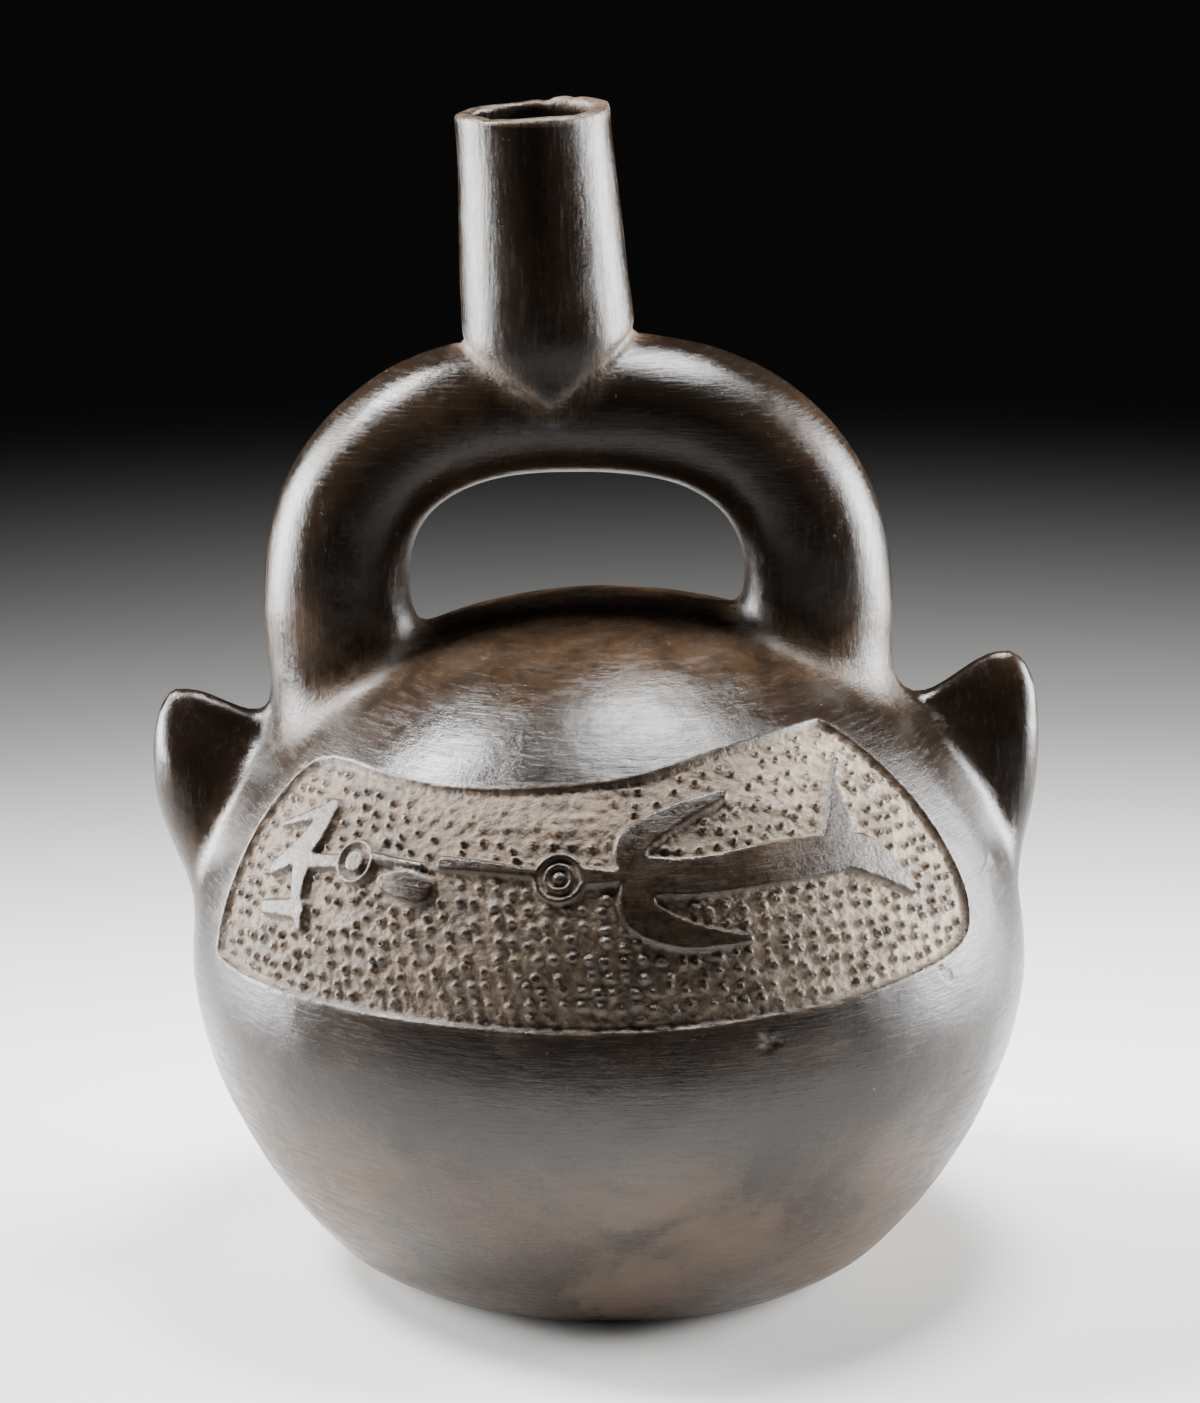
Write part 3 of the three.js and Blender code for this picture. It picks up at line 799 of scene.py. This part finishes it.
def earth_colour(tree, place, blotches, colours):
    """Dark and light earth in patches, and pale earth painted as a highlight on the right of the front panel.
    """
    patches = ramp(tree, noise_node(tree, place, 210.0, 6.0, 0.75, 0.8), 0.3, 0.62)
    soils = mixed(tree, patches, tuple(colours.soil), tuple(colours.earth))
    dry = maths(tree, "MULTIPLY", attribute(tree, "dry"), ramp(tree, blotches, 0.3, 0.6))
    return mixed(tree, dry, soils, tuple(colours.dry))


def clay_material(colours):
    """Dark burnished clay with brown clouds, a dull bowl and earth in the relief and the joints."""
    material = bpy.data.materials.new("burnished_clay")
    material.use_nodes = True
    tree = material.node_tree
    tree.nodes.clear()
    surface = node(tree, "ShaderNodeBsdfPrincipled")
    output = node(tree, "ShaderNodeOutputMaterial")
    tree.links.new(surface.outputs["BSDF"], output.inputs["Surface"])

    place = node(tree, "ShaderNodeTexCoord").outputs["Object"]
    clouds = noise_node(tree, place, 26.0, 5.0, 0.6, 0.4)
    blotches = noise_node(tree, place, 120.0, 6.0, 0.7, 0.6)
    facets = noise_node(tree, place, 75.0, 2.0, 0.5)
    fine = noise_node(tree, place, 520.0, 4.0, 0.65)
    grit = noise_node(tree, place, 1800.0, 3.0, 0.65)
    strokes = burnish_strokes(tree, place)
    bloom = bloom_share(tree, place)
    brown = brown_share(tree, clouds, blotches)
    earth = earth_share(tree, fine, blotches)
    specks = maths(tree, "MULTIPLY", ramp(tree, fine, 0.68, 0.74), 0.5)
    scuffs = maths(tree, "MULTIPLY", ramp(tree, strokes, 0.60, 0.72), ramp(tree, clouds, 0.35, 0.6))

    tint = mixed(tree, bloom, tuple(colours.dark), tuple(colours.bloom))
    tint = mixed(tree, brown, tint, tuple(colours.brown))
    tint = mixed(tree, earth, tint, earth_colour(tree, place, blotches, colours))
    tint = mixed(tree, specks, tint, tuple(colours.earth))
    tint = mixed(tree, maths(tree, "MULTIPLY", scuffs, 0.16), tint, tuple(colours.earth))
    tree.links.new(tint, surface.inputs["Base Color"])

    rough = weighted(tree, colours.gloss - 0.08, [
        (ramp(tree, strokes, 0.38, 0.64), 0.22), (ramp(tree, blotches, 0.45, 0.8), 0.08),
        (bloom, 0.3), (brown, 0.06), (earth, 0.4),
    ])
    tree.links.new(rough, surface.inputs["Roughness"])
    socket(surface, "Specular IOR Level", 0.45)

    grain = maths(tree, "MULTIPLY", grit, weighted(tree, 0.08, [(earth, 1.1)]))
    height = weighted(tree, grain, [(strokes, 0.36), (fine, 0.3), (facets, 1.3)])
    bump = node(tree, "ShaderNodeBump")
    socket(bump, "Strength", 0.55)
    socket(bump, "Distance", 0.0005)
    tree.links.new(height, bump.inputs["Height"])
    tree.links.new(bump.outputs["Normal"], surface.inputs["Normal"])
    return material


# The vessel's mesh and its stains


def uneven(points, size, seed):
    """A slow noise of about one unit either way at each point."""
    shift = Vector((seed * 7.3, seed * 1.7, seed * 3.1))
    return np.array([noise.noise(Vector(p) / size + shift) for p in points])


def hollow_mesh(grid):
    """The plain vessel, its inside cut out of its outside."""
    low = np.array(LOW) / MM - 2.0 * grid
    high = np.array(HIGH) / MM + 2.0 * grid
    outer_points, outer_faces = net(outside, low, high, grid)
    inner_points, inner_faces = net(hollow, low, high, INNER_GRID)
    outer = mesh_of("vessel_outside", settled(outside, outer_points, 2), outer_faces)
    inner = mesh_of("vessel_inside", settled(hollow, inner_points, 2), inner_faces)
    return hollowed(outer, inner)


def on_skin(p):
    return outside(p) > -SKIN_DEPTH


def on_panel(p, back):
    half = p[:, 1] > 0 if back else p[:, 1] < 0
    return on_skin(p) & half & (panel_distance(p, back) > -1.5)


def on_detail(p):
    """Whether each point is by the rim, a scratch or the crease."""
    rim = p[:, 2] > RIM_HEIGHT - 4.0
    scratched = (p[:, 1] < 0) & (scratch_distance(p) < 2.0)
    return on_skin(p) & (rim | scratched | (crease_distance(p) < 1.8))


def carved(points, skin, sizes):
    """The depth, ground, figures and pellets of both panels at each point of the vessel."""
    layers = np.zeros((4, len(points)))
    on_dome = skin & (points[:, 2] > BELLY_HEIGHT) & (points[:, 2] < BELLY_HEIGHT + PANEL_TOP - 1.0)
    for back in (False, True):
        half = on_dome & ((points[:, 1] > 0) == back)
        layers[:, half] = relief(points[half], sizes, back)
    return layers


def scratches(points, skin):
    share = np.zeros(len(points))
    front = skin & (points[:, 1] < 0)
    share[front] = 1.0 - smooth_step(-0.2, 0.35, scratch_distance(points[front]))
    return share


def joint_earth(points):
    """Earth left where the handle and the lugs meet the body."""
    to_body = np.abs(body_distance(points))
    to_handle = np.abs(stirrup_distance(points))
    to_lug = np.abs(np.minimum(lug_distance(points, LUGS[0]), lug_distance(points, LUGS[1])))
    feet = hump(np.maximum(to_body + to_handle - 2.0, 0.0), 0.0, 2.6)
    lugs = hump(np.maximum(to_body + to_lug - 0.6, 0.0), 0.0, 1.3)
    return 0.7 * feet + 0.8 * lugs


def rim_earth(points):
    """Earth on the rim and down the throat of the spout."""
    height = points[:, 2]
    rim = smooth_step(RIM_HEIGHT - 2.3, RIM_HEIGHT - 0.7, height)
    throat = smooth_step(RIM_HEIGHT - 21.5, RIM_HEIGHT - 7.5, height) * (hollow(points) < 1.4)
    return 0.75 * rim + 0.8 * throat


def edge_earth(points, skin):
    """Earth along the edge of the front panel."""
    _, rise = azimuth_and_rise(points)
    share = np.zeros(len(points))
    near = skin & (points[:, 1] < 0) & (rise > 0) & (rise < PANEL_TOP)
    share[near] = 0.6 * hump(panel_distance(points[near], False), 0.1, 0.8)
    return share


def panel_stains(points, ground, figure):
    """The ground, with less earth at the back and a painted shade of less earth in the middle of the front
    panel, the figures, paler at the panel's sides as a painted highlight, and the pale ground painted as a
    highlight on the panel's right.
    """
    azimuth, rise = azimuth_and_rise(points)
    in_front = (points[:, 1] < 0).astype(float)
    # The figures at the sides of the front panel are paler: a painted highlight over a little earth
    worn = (smooth_step(36.0, 46.0, azimuth) + smooth_step(-30.0, -36.0, azimuth)) * in_front
    figure = np.clip(figure * (0.14 + 0.36 * worn), 0.0, 1.0)
    # Pale earth on the right of the front panel is a painted highlight
    dry = smooth_step(14.0, 44.0, azimuth) * ground * in_front
    # Less earth in the middle of the front panel is a painted shade
    middle_shade = hump(azimuth, 4.0, 17.0) * hump(rise, 17.0, 11.0)
    ground = ground * (1.0 - 0.5 * middle_shade - 0.3 * (1.0 - in_front))
    return ground, figure, dry


def brown_clay(points):
    """Brown at the top of the dome, at the foot and in the clouds."""
    x, z = points[:, 0], points[:, 2]
    share = 0.8 * hump(z, BELLY_HEIGHT + 63.0, 7.0) + 0.9 * smooth_step(15.0, 2.0, z)
    for middle_x, middle_z, wide, high, strength in BROWN_CLOUDS:
        share += strength * hump(x, middle_x, wide) * hump(z, middle_z, high)
    return np.clip(share, 0.0, 1.0)


def upright_strokes(points):
    """Where the clay was burnished up and down: on the legs and the spout, but not on the crest."""
    crest = smooth_step(134.0, 152.0, points[:, 2]) * (spout_distance(points) > 1.0)
    return smooth_step(-1.0, 6.0, body_distance(points)) * (1.0 - crest)


# Operators


class VESSEL_OT_model(bpy.types.Operator):
    """Models the hollow vessel with its handle, spout, lugs and relief"""

    bl_idname = "vessel.model"
    bl_label = "Model Vessel"

    def execute(self, context):
        sizes = context.scene.vessel_sizes
        mesh = hollow_mesh(sizes.grid / MM * (1.0))
        refine(mesh, lambda p: on_panel(p, False) | on_panel(p, True) | on_detail(p))
        refine(mesh, lambda p: on_panel(p, False))

        points = corners(mesh)
        skin = on_skin(points)
        points[skin] = settled(outside, points[skin], 3)
        slope = gradient(outside, points)
        normal = slope / np.maximum(np.linalg.norm(slope, axis=1, keepdims=True), 1e-6)
        cut, ground, figure, pellet = carved(points, skin, sizes)
        crease = hump(crease_distance(points), 0.0, 0.75) * skin
        scratch = scratches(points, skin)
        crumbs = uneven(points, 1.0, 3) + 0.6 * uneven(points, 0.5, 5)
        wobble = uneven(points, 22.0, sizes.seed) + 0.35 * uneven(points, 8.0, sizes.seed + 1) - 0.5
        joint = joint_earth(points) + 0.9 * crease + scratch
        upright = upright_strokes(points)

        move = (sizes.wobble / MM * wobble - cut + 0.24 * crumbs * ground) * skin
        move -= 0.5 * crease + 0.35 * scratch
        points += normal * (move * smooth_step(0.0, 3.0, points[:, 2]))[:, None]
        points[:, 2] = np.minimum(points[:, 2], HIGH[2] / MM)
        mesh.vertices.foreach_set("co", (points * MM).ravel())

        joint += 0.7 * hump(crease_distance(points), 0.0, 2.4) + rim_earth(points)
        joint = np.maximum(np.clip(joint, 0.0, 1.0) * skin, edge_earth(points, skin))
        ground, figure, dry = panel_stains(points, ground, figure)
        # The ground field carries a painted shade in the middle of the front panel; the figure field and the
        # pale right of the panel carry painted highlights
        fields = {
            "ground": ground, "figure": figure, "pellet": pellet, "joint": joint, "dry": dry,
            "bowl": smooth_step(-6.0, -26.0, points[:, 2] - BELLY_HEIGHT),
            "brown": brown_clay(points), "upright": upright,
        }
        for name, values in fields.items():
            layer = mesh.attributes.new(name, "FLOAT", "POINT")
            layer.data.foreach_set("value", values.astype(np.float32))
        mesh.polygons.foreach_set("use_smooth", np.ones(len(mesh.polygons), dtype=bool))
        mesh.update()
        mesh.calc_loop_triangles()
        if len(mesh.loop_triangles) > MOST_TRIANGLES:
            raise RuntimeError(f"the vessel has {len(mesh.loop_triangles)} triangles, too many for one piece")

        vessel = bpy.data.objects.new("clay_vessel", mesh)
        mesh.materials.clear()
        mesh.materials.append(clay_material(context.scene.clay_colours))
        context.collection.objects.link(vessel)
        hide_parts("vessel")
        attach(vessel, "root")
        return {"FINISHED"}


def softbox(name, place, target, size, power, spread):
    """A rectangular light that faces the target and spreads over this many degrees."""
    data = bpy.data.lights.new(name, "AREA")
    data.shape = "RECTANGLE"
    data.size, data.size_y = size
    data.energy = power
    data.spread = math.radians(spread)
    lamp = bpy.data.objects.new(name, data)
    lamp.location = place
    lamp.visible_camera = False
    lamp.rotation_euler = (Vector(target) - Vector(place)).to_track_quat("-Z", "Y").to_euler()
    bpy.context.collection.objects.link(lamp)


def plain_sheet(name, tint, width, depth):
    """A flat, matt stage sheet of one plain colour."""
    mesh = bpy.data.meshes.new(name)
    work = bmesh.new()
    bmesh.ops.create_grid(work, x_segments=8, y_segments=8, size=0.5)
    bmesh.ops.scale(work, vec=(width, depth, 1.0), verts=work.verts)
    work.to_mesh(mesh)
    work.free()
    material = bpy.data.materials.new(name)
    material.use_nodes = True
    surface = material.node_tree.nodes["Principled BSDF"]
    socket(surface, "Base Color", (*tint, 1.0))
    socket(surface, "Roughness", 0.9)
    mesh.materials.append(material)
    sheet = bpy.data.objects.new(name, mesh)
    bpy.context.collection.objects.link(sheet)
    return sheet


class VESSEL_OT_studio(bpy.types.Operator):
    """Sets up the floor, the lights and the camera"""

    bl_idname = "vessel.studio"
    bl_label = "Set Up Studio"

    def execute(self, context):
        studio = context.scene.studio_settings
        plain_sheet("studio_floor", studio.floor, FLOOR_SIZE, FLOOR_SIZE)
        # The card stands below the picture and is only seen in the vessel's polish, as a painted dark
        # reflection in the band under the panel
        card = plain_sheet("dark_card", (0.01, 0.01, 0.01), CARD_WIDTH, CARD_HEIGHT)
        card.location = CARD_PLACE
        card.rotation_euler = (math.radians(90.0), 0.0, 0.0)
        card.visible_camera = False
        card.visible_diffuse = False
        card.visible_shadow = False
        for name, setting, place, target, size, spread in SOFTBOXES:
            softbox(name, place, target, size, getattr(studio, setting), spread)

        world = bpy.data.worlds.new("studio_world")
        world.use_nodes = True
        back = world.node_tree.nodes["Background"]
        socket(back, "Color", (0.95, 0.97, 1.0, 1.0))
        socket(back, "Strength", 0.004)
        context.scene.world = world

        camera_data = bpy.data.cameras.new("camera")
        camera_data.sensor_fit = "VERTICAL"
        camera_data.sensor_height = CAMERA_SENSOR
        camera_data.lens = CAMERA_LENS
        camera_data.clip_end = 50.0
        camera = bpy.data.objects.new("camera", camera_data)
        camera.location = CAMERA_PLACE
        camera.rotation_euler = (math.radians(90.0 - CAMERA_TILT), 0.0, math.radians(CAMERA_TURN))
        context.collection.objects.link(camera)
        context.scene.camera = camera
        return {"FINISHED"}


class VIEW3D_PT_vessel(bpy.types.Panel):
    """Lists what the add-on makes and the settings behind it"""

    bl_label = "Stirrup Spout Vessel"
    bl_idname = "VIEW3D_PT_vessel"
    bl_space_type = "VIEW_3D"
    bl_region_type = "UI"
    bl_category = "Vessel"

    def draw(self, context):
        layout = self.layout
        for group in (context.scene.vessel_sizes, context.scene.clay_colours):
            column = layout.column(align=True)
            for name in group.__annotations__:
                column.prop(group, name)
        layout.operator(VESSEL_OT_model.bl_idname)
        column = layout.column(align=True)
        for name in StudioSettings.__annotations__:
            column.prop(context.scene.studio_settings, name)
        layout.operator(VESSEL_OT_studio.bl_idname)


CLASSES = (VesselSizes, ClayColours, StudioSettings, VESSEL_OT_model, VESSEL_OT_studio, VIEW3D_PT_vessel)


def register():
    for made in CLASSES:
        bpy.utils.register_class(made)
    bpy.types.Scene.vessel_sizes = PointerProperty(type=VesselSizes)
    bpy.types.Scene.clay_colours = PointerProperty(type=ClayColours)
    bpy.types.Scene.studio_settings = PointerProperty(type=StudioSettings)


def unregister():
    del bpy.types.Scene.studio_settings
    del bpy.types.Scene.clay_colours
    del bpy.types.Scene.vessel_sizes
    for made in reversed(CLASSES):
        bpy.utils.unregister_class(made)


def main():
    register()
    bpy.ops.vessel.studio()
    bpy.ops.vessel.model()


if __name__ == "__main__":
    main()
